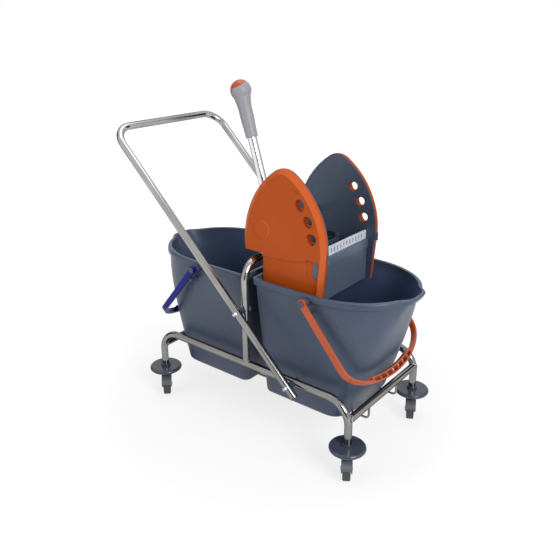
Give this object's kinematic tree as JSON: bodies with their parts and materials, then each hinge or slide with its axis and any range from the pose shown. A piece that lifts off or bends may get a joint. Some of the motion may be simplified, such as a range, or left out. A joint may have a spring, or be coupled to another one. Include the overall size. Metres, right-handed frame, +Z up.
{
  "type": "double mop bucket trolley",
  "caption": "Wheeled tube frame with push handle that carries two lift-out mop buckets with bails and a hooked-on lever press with leaf-shaped side panels.",
  "frame": {"origin": "on the floor, in the middle of the trolley's footprint box", "axes": "+X towards the front bucket that has the press, +Y towards the far side, +Z up"},
  "size_m": [0.8462, 0.431, 0.9271],
  "materials": {
    "chrome_tube": "polished",
    "zinc_steel": "satin",
    "bumper_plastic": "matte",
    "caster_plastic": "matte",
    "tyre_rubber": "matte",
    "bucket_plastic": "satin",
    "cover_plastic": "satin",
    "front_bail_plastic": "satin",
    "rear_bail_plastic": "satin",
    "grip_plastic": "matte",
    "pale_plastic": "matte"
  },
  "bodies": {
    "frame": {"near_side_rail": "chrome_tube", "far_side_rail": "chrome_tube", "front_cross_tube": "chrome_tube", "rear_cross_tube": "chrome_tube", "near_cradle_rod": "chrome_tube", "far_cradle_rod": "chrome_tube", "press_hoop": "chrome_tube", "push_handle": "chrome_tube", "handle_spacers": "bumper_plastic", "handle_bolts": "zinc_steel", "handle_nuts": "zinc_steel", "handle_plugs": "bumper_plastic", "bumper_discs": "bumper_plastic", "caster_stems": "zinc_steel", "stem_sleeves": "bumper_plastic"},
    "front_near_caster": {"front_near_fork": "caster_plastic", "front_near_axle": "zinc_steel"},
    "front_near_wheel": {"front_near_hub": "caster_plastic", "front_near_tyre": "tyre_rubber"},
    "front_far_caster": {"front_far_fork": "caster_plastic", "front_far_axle": "zinc_steel"},
    "front_far_wheel": {"front_far_hub": "caster_plastic", "front_far_tyre": "tyre_rubber"},
    "rear_near_caster": {"rear_near_fork": "caster_plastic", "rear_near_axle": "zinc_steel"},
    "rear_near_wheel": {"rear_near_hub": "caster_plastic", "rear_near_tyre": "tyre_rubber"},
    "rear_far_caster": {"rear_far_fork": "caster_plastic", "rear_far_axle": "zinc_steel"},
    "rear_far_wheel": {"rear_far_hub": "caster_plastic", "rear_far_tyre": "tyre_rubber"},
    "front_bucket": {"front_bucket": "bucket_plastic", "front_bail_pins": "bucket_plastic"},
    "front_bail": {"front_bail": "front_bail_plastic"},
    "rear_bucket": {"rear_bucket": "bucket_plastic", "rear_bail_pins": "bucket_plastic"},
    "rear_bail": {"rear_bail": "rear_bail_plastic"},
    "press": {"near_inner_panel": "bucket_plastic", "far_inner_panel": "bucket_plastic", "near_cover": "cover_plastic", "far_cover": "cover_plastic", "cover_clips": "bucket_plastic", "pivot_caps": "cover_plastic", "press_front_wall": "bucket_plastic", "press_floor": "bucket_plastic", "press_rear_beam": "bucket_plastic", "counter_grid": "pale_plastic", "shaft_bushes": "pale_plastic", "return_spring": "zinc_steel"},
    "lever": {"press_shaft": "zinc_steel", "drive_sectors": "zinc_steel", "lever_socket": "caster_plastic", "socket_pin": "zinc_steel", "lever_tube": "chrome_tube", "lever_grip": "grip_plastic", "knob_cap": "cover_plastic"},
    "plate": {"press_plate": "grip_plastic", "press_racks": "zinc_steel"}
  },
  "joints": [
    {"name": "front_near_swivel", "type": "hinge", "parent": "frame", "child": "front_near_caster", "pos_m": [0.33962, -0.1685, 0.078], "axis": [0, 0, 1], "continuous": true},
    {"name": "front_near_roll", "type": "hinge", "parent": "front_near_caster", "child": "front_near_wheel", "pos_m": [0.34651, -0.17952, 0.03], "axis": [0.848, 0.5299, 0], "continuous": true},
    {"name": "front_far_swivel", "type": "hinge", "parent": "frame", "child": "front_far_caster", "pos_m": [0.33962, 0.1685, 0.078], "axis": [0, 0, 1], "continuous": true},
    {"name": "front_far_roll", "type": "hinge", "parent": "front_far_caster", "child": "front_far_wheel", "pos_m": [0.34552, 0.15692, 0.03], "axis": [0.891, 0.454, 0], "continuous": true},
    {"name": "rear_near_swivel", "type": "hinge", "parent": "frame", "child": "rear_near_caster", "pos_m": [-0.30838, -0.1685, 0.078], "axis": [0, 0, 1], "continuous": true},
    {"name": "rear_near_roll", "type": "hinge", "parent": "rear_near_caster", "child": "rear_near_wheel", "pos_m": [-0.29919, -0.17769, 0.03], "axis": [0.7071, 0.7071, 0], "continuous": true},
    {"name": "rear_far_swivel", "type": "hinge", "parent": "frame", "child": "rear_far_caster", "pos_m": [-0.30838, 0.1685, 0.078], "axis": [0, 0, 1], "continuous": true},
    {"name": "rear_far_roll", "type": "hinge", "parent": "rear_far_caster", "child": "rear_far_wheel", "pos_m": [-0.30038, 0.15826, 0.03], "axis": [0.788, 0.6157, 0], "continuous": true},
    {"name": "front_bucket_lift", "type": "slide", "parent": "frame", "child": "front_bucket", "axis": [0, 0, 1], "range_m": [0, 0.25]},
    {"name": "front_bail_swing", "type": "hinge", "parent": "front_bucket", "child": "front_bail", "pos_m": [0.19762, 0, 0.432], "axis": [0, -1, 0], "range_deg": [0, 120]},
    {"name": "rear_bucket_lift", "type": "slide", "parent": "frame", "child": "rear_bucket", "axis": [-0.4772, 0, 0.8788], "range_m": [0, 0.3]},
    {"name": "rear_bail_swing", "type": "hinge", "parent": "rear_bucket", "child": "rear_bail", "pos_m": [-0.16638, 0, 0.432], "axis": [0, 1, 0], "range_deg": [0, 150]},
    {"name": "press_lift", "type": "slide", "parent": "front_bucket", "child": "press", "axis": [0, 0, 1], "range_m": [0, 0.2]},
    {"name": "lever_swing", "type": "hinge", "parent": "press", "child": "lever", "pos_m": [0.04062, 0, 0.575], "axis": [0, 1, 0], "range_deg": [-60, 0], "stiffness_Nm_per_rad": 1.5, "springref_deg": 34.38},
    {"name": "plate_slide", "type": "slide", "parent": "press", "child": "plate", "axis": [1, 0, 0], "range_m": [0, 0.0526]}
  ],
  "couplings": [
    {"joint": "plate_slide", "follows": "lever_swing", "m_per_rad": -0.05}
  ]
}
